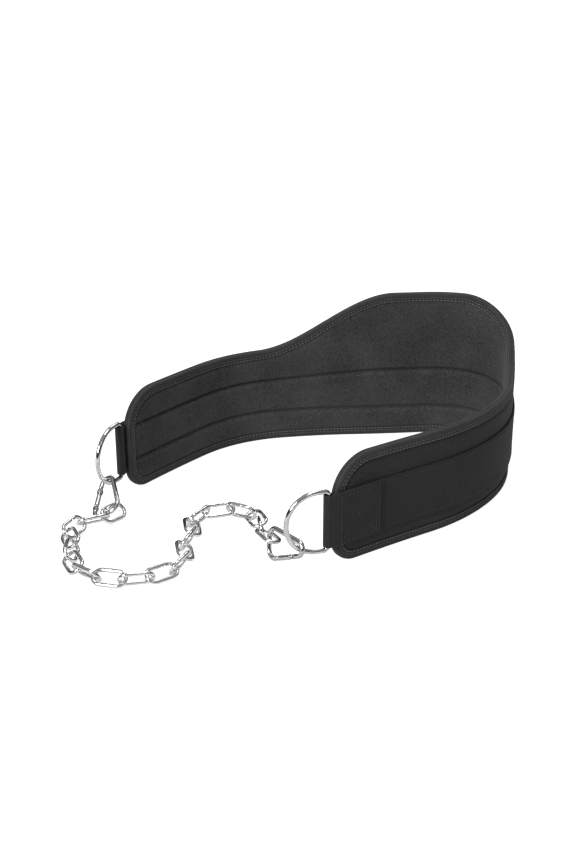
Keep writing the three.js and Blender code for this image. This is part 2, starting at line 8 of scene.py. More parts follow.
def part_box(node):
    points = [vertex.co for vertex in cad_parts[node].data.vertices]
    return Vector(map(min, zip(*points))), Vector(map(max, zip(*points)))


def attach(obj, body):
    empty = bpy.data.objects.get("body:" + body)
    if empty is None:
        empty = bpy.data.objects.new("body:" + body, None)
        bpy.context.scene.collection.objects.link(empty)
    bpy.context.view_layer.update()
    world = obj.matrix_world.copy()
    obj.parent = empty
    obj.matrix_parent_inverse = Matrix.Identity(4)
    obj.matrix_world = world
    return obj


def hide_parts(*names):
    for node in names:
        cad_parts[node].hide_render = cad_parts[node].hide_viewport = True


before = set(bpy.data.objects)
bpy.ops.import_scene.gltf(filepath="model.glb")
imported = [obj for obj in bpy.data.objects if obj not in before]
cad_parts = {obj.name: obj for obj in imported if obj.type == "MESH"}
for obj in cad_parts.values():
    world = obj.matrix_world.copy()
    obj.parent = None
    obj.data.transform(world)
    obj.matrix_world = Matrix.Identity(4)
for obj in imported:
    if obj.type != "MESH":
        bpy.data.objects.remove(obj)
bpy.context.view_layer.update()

# A dip belt as it looks: a padded belt with bound edges, a band of webbing with a D-ring at each end, two
# snap hooks and the steel chain that lies between them. Lengths are in millimetres unless a comment says
# otherwise, and make() turns them into Blender's metres.
MM = 0.001
DEG = math.pi / 180
UP = Vector((0, 0, 1))

# The belt's sizes, as in its CAD source
BELT_LENGTH = 794
ARM_HEIGHT = 101
BACK_HEIGHT = 158
BACK_AT = 363                    # from the left end to the middle of the high back
BACK_FLAT = 72                   # length of the back at its full height
BACK_RUN = 144                   # length over which the edge rises to it, on each side
TOP_CORNER = 40
LOW_CORNER = 24
PAD_THICKNESS = 8
PAD_EDGE = 5                     # thickness of the pad where the binding grips it
LOW_SEAM = 33                    # heights of the two sewn channels
HIGH_SEAM = 68
SEAM_LIFT = 7                    # how much the upper channel climbs at the back
BINDING_WIDTH = 9
BINDING_TAPE = 1
WEBBING_WIDTH = 50
WEBBING_THICKNESS = 1.8
WEBBING_BASE = 21                # height of the webbing's lower edge
FOLD_LENGTH = 48                 # webbing folded back and sewn down at each end
RING_WIRE = 4.6
RING_SIDE_PLAY = 1               # between the webbing's edge and the ring
RING_STRAIGHT = 6
RING_CORNER = 4
RING_REACH = 6                   # from the pad's end to the ring's bar
RING_OFFSET = 2.2                # from the pad's middle out to the ring's bar
RING_SWING = {"left": 8, "right": -18}           # degrees away from the line of the belt's end
HOOK_WIRE = 4.6
HOOK_LENGTH = 51
HOOK_WIDTH = 31
HOOK_NOSE = 6.4                  # radius of the narrow end's centre line, which holds the ring
HOOK_HEEL = 8                    # radius of the wide end's two corners
GATE_WIRE = 4.8
GATE_START = 9                   # from the narrow end's arc to the gate's rivet
LINK_WIRE = 3.8
LINK_LENGTH = 33
LINK_WIDTH = 18
GAP = 0.3                        # between pieces that touch

# How the belt is bent, seen from above: its heading in degrees, at shares of its length
BENDS = [
    {"share": 0.00, "heading": 100},
    {"share": 0.14, "heading": 95},
    {"share": 0.26, "heading": 56},
    {"share": 0.36, "heading": 48},
    {"share": 0.45, "heading": 51},
    {"share": 0.50, "heading": 28},
    {"share": 0.55, "heading": -6},
    {"share": 0.60, "heading": -49},
    {"share": 0.66, "heading": -56},
    {"share": 0.74, "heading": -77},
    {"share": 0.86, "heading": -102},
    {"share": 1.00, "heading": -98},
]

# Where each hook hangs: an angle round its ring below the ring's middle, the way it leans in plan, and
# its roll about its own length, all in degrees. It leans over until its wide end rests on the ground.
HOOK_SEATS = {
    "left": {"ring_angle": -59, "heading": -41, "roll": 2},
    "right": {"ring_angle": -54, "heading": 175, "roll": 154},
}

# Sizes of the dressed belt alone
PAD_INSET = 1.4                  # from the belt's edge in to the pad's
EDGE_RAMP = 5                    # width over which the pad swells to its full thickness
GATE_LENGTH = 22                 # 0.02 more than the CAD source works out

# How far the forms of the pad's two faces stand out at most, and where a channel's forms lie beside it
INNER_RELIEF = {"crown": 0.9, "lip": 0.35, "groove": -2.3, "wave": 0.35, "pucker": 0.35}
OUTER_RELIEF = {"crown": 0.15, "lip": 0, "groove": -0.6, "wave": 0.1, "pucker": 0}
OUTER_SPACE = 0.15               # left between the pad's outer face and the webbing
CROWN_POWER = 0.6                # under 1 for a full, round crown between two channels
GROOVE_HALF = 1.1
LIP_AT = 3.4
LIP_HALF = 1.6
PUCKER_REACH = 7

# How the knit's colour is scaled: one darker tone for the outer face, and on the inner face painted shade
# in bands along the channels' grooves, with a painted highlight on the lip below each
OUTER_SHADE = 0.42
PAINTED_GROOVE_SHADE = {"depth": 0.6, "half": 1.15}
PAINTED_LIP_HIGHLIGHT = {"gain": 0.25, "below": 3.6, "half": 2.0}

# How finely the pad is divided, along the belt and up each of its three rows
END_COLUMNS = 12
MIDDLE_COLUMNS = 236
ROW_STEPS = (14, 14, 20)
ROW_EASE = 0.32                  # crowds a row's steps towards its channels

# The binding's outer skin on one side: in from the belt's edge, and out from the pad's middle
BINDING_SKIN = [
    (9.0, 3.5), (8.8, 3.75), (7.6, 3.85), (6.0, 3.8), (4.2, 4.05), (2.6, 4.1),
    (1.4, 3.8), (0.5, 2.9), (0.05, 1.5),
]
TAPE_FOLD = 1.1                  # from the belt's edge in to the inside of the tape's fold
PUCKER_BAND = (2, 8)             # in from the edge, where the tape puckers
PUCKER_PITCH = 7.2
PUCKER_MOST = 0.12
PUCKER_NOISE = 0.1
EDGE_STEP = 3.2                  # between sections on the edge's long runs
CORNER_STEP = 2.6                # and round its corners

# The binding's rows of stitches: in from the edge, and the thread's width
BINDING_ROWS = [
    {"deep": 5.2, "width": 0.45},
    {"deep": 7.9, "width": 0.85},
]
BINDING_ROW_OUT = 3.86           # from the pad's middle out to the rows
WEBBING_MARGIN = 2               # a row stops this far above and below the webbing
COVERED_LENGTH = 14              # and this near to the belt's end

# A stitch: shares of its length, and its thickness there
THREAD_SHAPE = [(0.0, 0.35), (0.18, 0.85), (0.5, 1.0), (0.82, 0.85), (1.0, 0.35)]
THREAD_SIDES = 6
THREAD_WIDTH = 0.55
THREAD_RISE = 0.38
THREAD_SUNK = 0.55               # thickness at which the thread's middle is level with the cloth
THREAD_ROUND = 0.6               # share of the rise that the thread is thick
STITCH_PITCH = 3.7
STITCH_LENGTH = 2.6
SHORTEST_STITCH = 0.5

# The webbing's section: height above its lower edge, and share of its thickness there
WEBBING_SECTION = [
    (0, 0.45), (0.5, 0.85), (1.6, 1), (6, 1), (12, 1), (18.5, 1), (25, 1), (31.5, 1), (38, 1), (44, 1),
    (48.4, 1), (49.5, 0.85), (50, 0.45),
]
WEBBING_RIPPLE = 0.12
FOLD_STEPS = 14
LOOP_STEPS = 24
WEBBING_STEPS = 240
WEBBING_START = 2                # from the belt's end to the long run's first section

# The sewn boxes and rows on the webbing
BOX_INSET = 4                    # from the fold's two ends in to the box
ROW_INSET = 3.5                  # from the webbing's edges in to the rows
INNER_BOX_INSET = 8              # how much later the box starts on the pad's inner face
INNER_BOX_OUT = 1.1              # how far it stands out there, from half the pad's thickness
THREAD_LIFT = 0.05               # from the webbing's face out to a row
ROW_START = 2                    # from the fold's end to the long rows

# The hooks' flattened ends, and each gate's cheeks, tips, rivet heads and wire
WIRE_STEP = 2.5                  # between sections along a hook's wire
HOOK_END_GAP = 0.6
TONGUE = {"length": 6.4, "height": 1.7, "bevel": 0.2}
RIVET_TONGUE_WIDTH = 3.9
LATCH_TONGUE_WIDTH = 3.5
RIVET_TONGUE_BACK = 1.6          # from the rivet back to its tongue's middle
SLOT_HALF = 1.2                  # half the slot in the gate that takes a tongue
CHEEK = {"length": 5.4, "width": 4.4, "height": 1.1, "bevel": 0.25}
CHEEK_AHEAD = 0.2                # from the rivet on to the cheek's middle
TIP = {"length": 4.0, "width": 4.2, "height": 1.0, "bevel": 0.25}
TIP_BACK = 1.6                   # from the latch back to the tip's middle
PLATE_LEVELS = (-1, -0.65, 0.65, 1)              # shares of half a plate's height, bevelled at both ends
PLATE_CORNER = 0.35              # a plate's cut corners, as a share of half its narrow side
RIVET_HEAD = {"radius": 1.6, "height": 0.9}
RIVET_LEVELS = [(-0.5, 0.9), (0.1, 1.0), (0.38, 0.82), (0.5, 0.45)]      # shares of its height and radius
RIVET_SIDES = 18
RIVET_OUT = 2.75                 # from the gate's middle out to a rivet head's
TUBE_START = (2.3, 2.9, 5)       # the gate's first sections, from its rivet
TUBE_STEPS = 5
TUBE_STEP = 2
TUBE_END = (4.6, 4.0)            # and its last ones, back from the latch
TUBE_THIN = (0.8, 0.85)          # shares of its radius at its two ends

# A link's weld, in the middle of one long side
WELD_HALF = 1.3
WELD_SWELL = 0.09
LINK_THIN = 0.985                # the rest of the wire, as a share of its thickness

# The lights' places and sizes are in metres, and their power is in watts
LIGHTS = [
    {"name": "key", "place": (0.15, -2.2, 1.3), "size": 0.9, "power": 46},
    {"name": "fill", "place": (1.7, -0.9, 1.9), "size": 0.5, "power": 2},
    {"name": "top", "place": (-0.1, 0.2, 2.4), "size": 0.9, "power": 20},
    {"name": "back", "place": (-1.0, 1.5, 2.0), "size": 1.0, "power": 8},
]
LIT_POINT = Vector((0, 0, 0.05))
FLOOR_HALF = 30                  # metres
FLOOR_GREY = 0.5
FLOOR_GLOW = {"light": 0.26, "camera": 0.9}
SKY_STRENGTH = 0.35
BACKDROP_STRENGTH = 1.1

# The camera: what it looks at, from the middle of the belt's left end, and its lens in the photo's pixels
CAMERA_TARGET = Vector((5.15, 216.7, 0))
CAMERA_AZIMUTH = 45 * DEG
CAMERA_ELEVATION = 23 * DEG
CAMERA_DISTANCE = 1417
FOCAL_PIXELS = 1300
PHOTO_HEIGHT = 864
SENSOR_HEIGHT = 36
CLIP_END = 100                   # metres

# Places and sizes that follow from those above
PAD_HALF = PAD_THICKNESS / 2
TAPE_INNER = PAD_EDGE / 2 + 2 * GAP              # from the pad's middle to the inside of the tape
FACE = max(PAD_HALF, TAPE_INNER + BINDING_TAPE) + GAP        # where the webbing's inner face lies
RUN_OUT = FACE + WEBBING_THICKNESS / 2           # the webbing's centre line on the long run
FOLD_OUT = FACE + WEBBING_THICKNESS * 1.5 + GAP  # and on its folded ends
RING_RADIUS = WEBBING_WIDTH / 2 + RING_SIDE_PLAY + RING_WIRE / 2
RING_HEIGHT = WEBBING_BASE + WEBBING_WIDTH / 2
RING_MIDDLE = RING_CORNER + RING_STRAIGHT
HEEL_X = HOOK_LENGTH - HOOK_WIRE - HOOK_NOSE - HOOK_HEEL
HEEL_Y = (HOOK_WIDTH - HOOK_WIRE) / 2 - HOOK_HEEL
HEEL_FAR = math.hypot(HEEL_X, HEEL_Y)
LEG_ANGLE = (math.atan2(HEEL_Y, HEEL_X) + math.acos((HOOK_NOSE - HOOK_HEEL) / HEEL_FAR)) / DEG
LATCH_AT = GATE_START + GATE_LENGTH


# The belt's bend and outline, as in the CAD source

def arc_step(x, y, heading, length, turn):
    if abs(turn) < 1e-9:
        return x + length * math.cos(heading), y + length * math.sin(heading), heading
    radius = length / turn
    end = heading + turn
    return (x + radius * (math.sin(end) - math.sin(heading)),
            y - radius * (math.cos(end) - math.cos(heading)), end)


def plan_knots():
    """Length along the belt, x, y and heading where its bend changes."""
    knots = [(0.0, 0.0, 0.0, BENDS[0]["heading"] * DEG)]
    for a, b in zip(BENDS, BENDS[1:]):
        s, x, y, heading = knots[-1]
        run = (b["share"] - a["share"]) * BELT_LENGTH
        turn = (b["heading"] - a["heading"]) * DEG
        knots.append((s + run,) + arc_step(x, y, heading, run, turn))
    return knots


KNOTS = plan_knots()


def plan_at(s):
    if s <= 0:
        _, x, y, heading = KNOTS[0]
        return arc_step(x, y, heading, s, 0)
    if s >= KNOTS[-1][0]:
        s0, x, y, heading = KNOTS[-1]
        return arc_step(x, y, heading, s - s0, 0)
    i = next(k for k in range(1, len(KNOTS)) if KNOTS[k][0] > s) - 1
    s0, x, y, heading = KNOTS[i]
    s1, _, _, next_heading = KNOTS[i + 1]
    return arc_step(x, y, heading, s - s0, (next_heading - heading) * (s - s0) / (s1 - s0))


def drawn(s, out, z):
    """A point of the belt as drawn from its left end, before the whole part is centred."""
    x, y, heading = plan_at(s)
    return Vector((x - math.sin(heading) * out, y + math.cos(heading) * out, z))


def ring_bar(end):
    if end == "left":
        return drawn(-RING_REACH, RING_OFFSET, RING_HEIGHT)
    return drawn(BELT_LENGTH + RING_REACH, RING_OFFSET, RING_HEIGHT)


def ring_out(end):
    """The way a ring points, from its bar to the top of its round."""
    heading = plan_at(0)[2] + math.pi if end == "left" else plan_at(BELT_LENGTH)[2]
    away = heading + RING_SWING[end] * DEG
    return Vector((math.cos(away), math.sin(away), 0))


def centring():
    """How far the part was moved to centre it. Seen from above, the middle of a D-ring's box lies halfway
    from its bar to the top of its round."""
    low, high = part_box("d_ring_left")
    found = (low + high) / (2 * MM)
    middle = ring_bar("left") + ring_out("left") * ((RING_MIDDLE + RING_RADIUS) / 2)
    return Vector((found.x - middle.x, found.y - middle.y, 0))


OFFSET = centring()


def place(s, out, z):
    """A point of the belt: s along it, out from its middle to the outside of the bend, z up."""
    return drawn(s, out, z) + OFFSET


def face_normal(s, sign):
    heading = plan_at(s)[2]
    return Vector((-math.sin(heading), math.cos(heading), 0)) * sign


def smooth(t):
    t = min(max(t, 0.0), 1.0)
    return t * t * (3 - 2 * t)


def bell(distance, half):
    return math.exp(-(distance / half) ** 2)


def top_height(s):
    rise = (BACK_FLAT / 2 + BACK_RUN - abs(s - BACK_AT)) / BACK_RUN
    return ARM_HEIGHT + (BACK_HEIGHT - ARM_HEIGHT) * smooth(rise)


def slope_at(s):
    return top_height(s + 0.5) - top_height(s - 0.5)


def edge_heights(s, inset):
    """The lowest and highest points of the belt at s, this far in from its edge."""
    from_end = min(s, BELT_LENGTH - s) - inset

    def corner(radius):
        r = radius - inset
        over = max(r - from_end, 0)
        return r - math.sqrt(max(r * r - over * over, 0))
    low = inset + corner(LOW_CORNER)
    return low, top_height(s) - inset * math.hypot(1, slope_at(s)) - corner(TOP_CORNER)


def edge_distance(s, z):
    """How far a point of the belt is from its nearest edge."""
    from_end = min(s, BELT_LENGTH - s)

    def to_edge(depth, radius):
        if from_end < radius and depth < radius:
            return radius - math.hypot(radius - from_end, radius - depth)
        return min(from_end, depth)
    below_top = (top_height(s) - z) / math.hypot(1, slope_at(s))
    return min(to_edge(z, LOW_CORNER), to_edge(below_top, TOP_CORNER))


def seams_at(s):
    lift = SEAM_LIFT * (top_height(s) - ARM_HEIGHT) / (BACK_HEIGHT - ARM_HEIGHT)
    return LOW_SEAM, HIGH_SEAM + lift


# Meshes

def make(name, verts, faces, uvs=None):
    """A smooth piece whose faces point outward, from points in millimetres."""
    mesh = bpy.data.meshes.new(name)
    mesh.from_pydata([tuple(v * MM) for v in verts], [], faces)
    if uvs:
        layer = mesh.uv_layers.new(name="cloth")
        for loop in mesh.loops:
            layer.data[loop.index].uv = uvs[loop.vertex_index]
    outward = bmesh.new()
    outward.from_mesh(mesh)
    bmesh.ops.recalc_face_normals(outward, faces=outward.faces)
    outward.to_mesh(mesh)
    outward.free()
    mesh.polygons.foreach_set("use_smooth", [True] * len(mesh.polygons))
    mesh.update()
    piece = bpy.data.objects.new(name, mesh)
    bpy.context.scene.collection.objects.link(piece)
    return piece


def settle(piece, body, slot, material, *nodes):
    """Gives a piece its material and its body, and hides the CAD nodes that it replaces. Its slot is not
    used.
    """
    piece.data.materials.append(material)
    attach(piece, body)
    if nodes:
        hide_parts(*nodes)
    return piece


def basis(origin, x, y, z):
    m = Matrix((x, y, z)).transposed().to_4x4()
    m.translation = Vector(origin)
    return m


def aimed(origin, along, up):
    """A frame whose X is the first direction and whose Z is as near the second as it can be."""
    x = along.normalized()
    y = up.cross(x).normalized()
    return basis(origin, x, y, x.cross(y))


# Materials

def base_material(name, roughness, metallic=0.0, sheen=0.0):
    material = bpy.data.materials.new(name)
    material.use_nodes = True
    nodes = material.node_tree.nodes
    links = material.node_tree.links
    shader = nodes["Principled BSDF"]
    shader.inputs["Roughness"].default_value = roughness
    shader.inputs["Metallic"].default_value = metallic
    shader.inputs["Sheen Weight"].default_value = sheen
    shader.inputs["Sheen Roughness"].default_value = 0.6
    return material, nodes, links, shader


def noise_node(nodes, links, vector, scale, detail):
    node = nodes.new("ShaderNodeTexNoise")
    node.inputs["Scale"].default_value = scale
    node.inputs["Detail"].default_value = detail
    links.new(vector, node.inputs["Vector"])
    return node


def ramp_node(nodes, links, factor, stops):
    """A colour ramp from rows of position and colour, lowest first."""
    node = nodes.new("ShaderNodeValToRGB")
    ramp = node.color_ramp
    first, *between, last = stops
    ramp.elements[0].position, ramp.elements[0].color = first[0], (*first[1], 1)
    ramp.elements[1].position, ramp.elements[1].color = last[0], (*last[1], 1)
    for position, color in between:
        ramp.elements.new(position).color = (*color, 1)
    links.new(factor, node.inputs["Fac"])
    return node


def math_node(nodes, links, operation, *values):
    """A node of arithmetic, whose values are other nodes' outputs or numbers."""
    node = nodes.new("ShaderNodeMath")
    node.operation = operation
    for i, value in enumerate(values):
        if isinstance(value, float):
            node.inputs[i].default_value = value
        else:
            links.new(value, node.inputs[i])
    return node.outputs[0]


def bump_node(nodes, links, height, strength, distance, below=None):
    """Raises the surface by a height, whose distance is in metres."""
    node = nodes.new("ShaderNodeBump")
    node.inputs["Strength"].default_value = strength
    node.inputs["Distance"].default_value = distance
    links.new(height, node.inputs["Height"])
    if below:
        links.new(below.outputs["Normal"], node.inputs["Normal"])
    return node


def knit_material(name, dark, light, grain, with_tone_and_painted_light=False):
    """Speckled yarn, its colour scaled by the mesh's own shade attribute where it has one: a darker tone
    for the outer face, and painted shade and painted highlights along the inner face's channels.
    """
    material, nodes, links, shader = base_material(name, 0.92, sheen=0.06)
    where = nodes.new("ShaderNodeTexCoord").outputs["Object"]
    fine = noise_node(nodes, links, where, scale=grain, detail=4)
    broad = noise_node(nodes, links, where, scale=22, detail=3)
    speckle = math_node(nodes, links, "MULTIPLY_ADD", broad.outputs["Fac"], 0.35, fine.outputs["Fac"])
    middle = [(a + b) / 2 for a, b in zip(dark, light)]
    tint = ramp_node(nodes, links, speckle, [(0.48, dark), (0.66, middle), (0.86, light)]).outputs["Color"]
    # The mesh's shade attribute scales the colour: painted shade in the inner channels' grooves and a
    # painted highlight on the lips below them
    if with_tone_and_painted_light:
        shade = nodes.new("ShaderNodeAttribute")
        shade.attribute_name = "shade"
        multiply = nodes.new("ShaderNodeVectorMath")
        multiply.operation = "SCALE"
        links.new(tint, multiply.inputs[0])
        links.new(shade.outputs["Fac"], multiply.inputs["Scale"])
        tint = multiply.outputs["Vector"]
    links.new(tint, shader.inputs["Base Color"])
    cells = nodes.new("ShaderNodeTexVoronoi")
    cells.inputs["Scale"].default_value = grain * 0.9
    links.new(where, cells.inputs["Vector"])
    loops = bump_node(nodes, links, cells.outputs["Distance"], 0.5, 0.0004)
    fuzz = bump_node(nodes, links, fine.outputs["Fac"], 0.5, 0.0005, loops)
    links.new(fuzz.outputs["Normal"], shader.inputs["Normal"])
    return material


def woven_material(name, dark, light, across, along, depth):
    """Ribs and picks in a weave that follows the piece's own length and width."""
    material, nodes, links, shader = base_material(name, 0.85, sheen=0.04)
    uv = nodes.new("ShaderNodeTexCoord").outputs["UV"]
    where = nodes.new("ShaderNodeTexCoord").outputs["Object"]

    def waves(direction, scale):
        node = nodes.new("ShaderNodeTexWave")
        node.wave_type = "BANDS"
        node.bands_direction = direction
        node.inputs["Scale"].default_value = scale
        node.inputs["Distortion"].default_value = 0.6
        node.inputs["Detail"].default_value = 1
        links.new(uv, node.inputs["Vector"])
        return node.outputs["Fac"]
    ribs = waves("X", across)
    picks = waves("Y", along)
    grain = noise_node(nodes, links, where, scale=900, detail=3)
    patch = noise_node(nodes, links, where, scale=30, detail=2)
    weave = math_node(nodes, links, "MULTIPLY", ribs, picks)
    tone = math_node(nodes, links, "MULTIPLY_ADD", patch.outputs["Fac"], 0.5, weave)
    color = ramp_node(nodes, links, tone, [(0.15, dark), (0.75, light)])
    links.new(color.outputs["Color"], shader.inputs["Base Color"])
    threads = bump_node(nodes, links, weave, 0.7, depth)
    fuzz = bump_node(nodes, links, grain.outputs["Fac"], 0.3, 0.0003, threads)
    links.new(fuzz.outputs["Normal"], shader.inputs["Normal"])
    return material


def metal_material(name, tint, roughness, spots):
    """Plated metal with faint clouds and uneven polish."""
    material, nodes, links, shader = base_material(name, roughness, metallic=1.0)
    where = nodes.new("ShaderNodeTexCoord").outputs["Object"]
    cloud = noise_node(nodes, links, where, scale=spots, detail=3)
    dark = [c * 0.82 for c in tint]
    color = ramp_node(nodes, links, cloud.outputs["Fac"], [(0.35, dark), (0.6, tint)])
    links.new(color.outputs["Color"], shader.inputs["Base Color"])
    scratch = noise_node(nodes, links, where, scale=spots * 6, detail=2)
    rough = nodes.new("ShaderNodeMapRange")
    rough.inputs["To Min"].default_value = roughness * 0.7
    rough.inputs["To Max"].default_value = roughness * 1.6
    links.new(scratch.outputs["Fac"], rough.inputs["Value"])
    links.new(rough.outputs["Result"], shader.inputs["Roughness"])
    bump = bump_node(nodes, links, cloud.outputs["Fac"], 0.15, 0.0003)
    links.new(bump.outputs["Normal"], shader.inputs["Normal"])
    return material


# The pad's knit gets painted shade and painted highlights along its channels from the mesh's shade
# attribute
knit = knit_material("pad_knit", (0.007, 0.007, 0.007), (0.058, 0.058, 0.059), grain=850, with_tone_and_painted_light=True)
tape = woven_material(
    "tape_weave", (0.009, 0.009, 0.009), (0.048, 0.048, 0.049), across=300, along=300, depth=0.0003)
webbing_weave = woven_material(
    "webbing_weave", (0.006, 0.006, 0.006), (0.014, 0.014, 0.015), across=75, along=330, depth=0.00016)
thread = knit_material("thread", (0.08, 0.08, 0.081), (0.24, 0.24, 0.242), grain=2500)
box_thread = knit_material("box_thread", (0.022, 0.022, 0.023), (0.07, 0.07, 0.071), grain=2500)
chrome = metal_material("bright_plate", (0.76, 0.76, 0.77), roughness=0.08, spots=60)
zinc = metal_material("bright_zinc", (0.86, 0.86, 0.87), roughness=0.09, spots=90)
steel = metal_material("hook_steel", (0.62, 0.62, 0.63), roughness=0.16, spots=80)


# The padded panel

def face_half(s, z, inner):
    """How far a face lies from the pad's middle: crowned between the channels, pressed in along them."""
    low, high = seams_at(s)
    near = min(abs(z - low), abs(z - high))
    levels = [0, low, high, top_height(s)]
    row = next((i for i in range(3) if levels[i] <= z <= levels[i + 1]), 2)
    share = (z - levels[row]) / max(levels[row + 1] - levels[row], 1)
    forms = {
        "crown": math.sin(math.pi * min(max(share, 0), 1)) ** CROWN_POWER,
        "lip": bell(near - LIP_AT, LIP_HALF),
        "groove": bell(near, GROOVE_HALF),
        "wave": noise.noise(Vector((s * 0.03, z * 0.05, 3.0 if inner else 9.0))),
        "pucker": noise.noise(Vector((s * 0.16, z * 0.04, 5.0))) * math.exp(-near / PUCKER_REACH),
    }
    relief = INNER_RELIEF if inner else OUTER_RELIEF
    proud = sum(most * forms[form] for form, most in relief.items())
    if not inner:
        proud = min(proud, FACE - PAD_HALF - OUTER_SPACE)
    swell = smooth((edge_distance(s, z) - BINDING_WIDTH + 1) / EDGE_RAMP)
    return PAD_EDGE / 2 + (PAD_HALF - PAD_EDGE / 2) * swell + proud * swell


# A scale for the knit's colour: one darker tone for the outer face; on the inner face, painted shade in
# each channel's groove and a painted highlight on the lip below it
def face_tone_and_painted_light(s, z, inner):
    if not inner:
        return OUTER_SHADE
    low, high = seams_at(s)
    above = min((z - low, z - high), key=abs)
    # Painted shade down the groove of each channel, and a painted highlight on the lip just below it
    groove = bell(above, PAINTED_GROOVE_SHADE["half"])
    lip = bell(above + PAINTED_LIP_HIGHLIGHT["below"], PAINTED_LIP_HIGHLIGHT["half"])
    return 1 - PAINTED_GROOVE_SHADE["depth"] * groove + PAINTED_LIP_HIGHLIGHT["gain"] * lip


def pad_columns():
    """Lengths along the belt, closer together towards its two ends."""
    end = [PAD_INSET + (TOP_CORNER - PAD_INSET) * (1 - math.cos(i / END_COLUMNS * math.pi / 2))
           for i in range(END_COLUMNS)]
    run = BELT_LENGTH - 2 * TOP_CORNER
    middle = [TOP_CORNER + run * i / MIDDLE_COLUMNS for i in range(MIDDLE_COLUMNS + 1)]
    return end + middle + [BELT_LENGTH - s for s in reversed(end)]


def pad_heights(s):
    """Heights up the belt at s, with one on each channel, fitted between its two edges."""
    low, high = edge_heights(s, PAD_INSET)
    levels = [0.0, *seams_at(s), top_height(s)]
    heights = []
    for start, finish, steps in zip(levels, levels[1:], ROW_STEPS):
        for k in range(steps):
            t = k / steps
            t -= ROW_EASE * math.sin(2 * math.pi * t) / (2 * math.pi)
            heights.append(start + (finish - start) * t)
    heights.append(levels[-1])
    return [low + (high - low) * h / levels[-1] for h in heights]


def build_pad():
    columns = pad_columns()
    grid = [pad_heights(s) for s in columns]
    verts, uvs, faces, tones_and_painted_light = [], [], [], []
    for side in (1, -1):
        for s, heights in zip(columns, grid):
            for z in heights:
                verts.append(place(s, side * face_half(s, z, side < 0), z))
                uvs.append((s * MM, z * MM))
                tones_and_painted_light.append(face_tone_and_painted_light(s, z, side < 0))
    last_column = len(columns) - 1
    last_row = len(grid[0]) - 1

    def at(face, i, j):
        return (face * len(columns) + i) * len(grid[0]) + j
    for i in range(last_column):
        for j in range(last_row):
            faces.append((at(0, i, j), at(0, i, j + 1), at(0, i + 1, j + 1), at(0, i + 1, j)))
            faces.append((at(1, i, j), at(1, i + 1, j), at(1, i + 1, j + 1), at(1, i, j + 1)))
        for j in (0, last_row):
            faces.append((at(0, i, j), at(0, i + 1, j), at(1, i + 1, j), at(1, i, j)))
    for j in range(last_row):
        for i in (0, last_column):
            faces.append((at(0, i, j), at(1, i, j), at(1, i, j + 1), at(0, i, j + 1)))
    piece = make("pad", verts, faces, uvs)
    # The shade attribute holds the outer face's darker tone and the inner face's painted shade and painted
    # highlights
    layer = piece.data.attributes.new("shade", "FLOAT", "POINT")
    layer.data.foreach_set("value", tones_and_painted_light)
    return piece


pad = settle(build_pad(), "belt", "pad", knit, "belt_pad")


# The folded binding, swept round the edge

def outline():
    """Points round the belt's edge: length along the belt, height, and the way out of the belt there."""
    points = []

    def top_line(s0, s1):
        n = int(abs(s1 - s0) / EDGE_STEP)
        for i in range(n):
            s = s0 + (s1 - s0) * i / n
            slope = slope_at(s)
            long = math.hypot(1, slope)
            points.append((s, top_height(s), -slope / long, 1 / long))

    def low_line(s0, s1):
        n = int(abs(s1 - s0) / EDGE_STEP)
        points.extend((s0 + (s1 - s0) * i / n, 0, 0, -1) for i in range(n))

    def corner(s, z, radius, start):
        n = int(radius * math.pi / 2 / CORNER_STEP)
        for i in range(n):
            a = (start + 90 * i / n) * DEG
            points.append((s + radius * math.cos(a), z + radius * math.sin(a), math.cos(a), math.sin(a)))

    def upright(s, z0, z1, out):
        n = int(abs(z1 - z0) / EDGE_STEP)
        points.extend((s, z0 + (z1 - z0) * i / n, out, 0) for i in range(n))
    shoulder = ARM_HEIGHT - TOP_CORNER
    low_line(LOW_CORNER, BELT_LENGTH - LOW_CORNER)
    corner(BELT_LENGTH - LOW_CORNER, LOW_CORNER, LOW_CORNER, -90)
    upright(BELT_LENGTH, LOW_CORNER, shoulder, 1)
    corner(BELT_LENGTH - TOP_CORNER, shoulder, TOP_CORNER, 0)
    top_line(BELT_LENGTH - TOP_CORNER, TOP_CORNER)
    corner(TOP_CORNER, shoulder, TOP_CORNER, 90)
    upright(0, shoulder, LOW_CORNER, -1)
    corner(LOW_CORNER, LOW_CORNER, LOW_CORNER, 180)
    return points


EDGE = outline()


def build_binding():
    tape_edge = BINDING_SKIN[0][0]
    section = BINDING_SKIN + [(deep, -out) for deep, out in reversed(BINDING_SKIN)]
    section += [(tape_edge, -TAPE_INNER), (TAPE_FOLD, -TAPE_INNER)]
    section += [(TAPE_FOLD, TAPE_INNER), (tape_edge, TAPE_INNER)]
    verts, uvs, faces = [], [], []
    travelled = 0.0
    before = EDGE[0]
    for s, z, out_s, out_z in EDGE:
        travelled += math.hypot(s - before[0], z - before[1])
        before = (s, z)
        pucker = PUCKER_MOST * math.sin(travelled * 2 * math.pi / PUCKER_PITCH)
        pucker += PUCKER_NOISE * noise.noise(Vector((travelled * 0.12, 0, 0)))
        for deep, out in section:
            sign = 1 if out > 0 else -1
            swell = min(pucker, PUCKER_MOST) if PUCKER_BAND[0] < deep < PUCKER_BAND[1] else 0
            verts.append(place(s - out_s * deep, out + sign * swell, z - out_z * deep))
            uvs.append((travelled * MM, sign * deep * MM))
    n = len(section)
    for i in range(len(EDGE)):
        k = (i + 1) % len(EDGE)
        for j in range(n):
            m = (j + 1) % n
            faces.append((i * n + j, i * n + m, k * n + m, k * n + j))
    return make("binding", verts, faces, uvs)


settle(build_binding(), "belt", "binding", tape, "edge_binding")


# Stitches

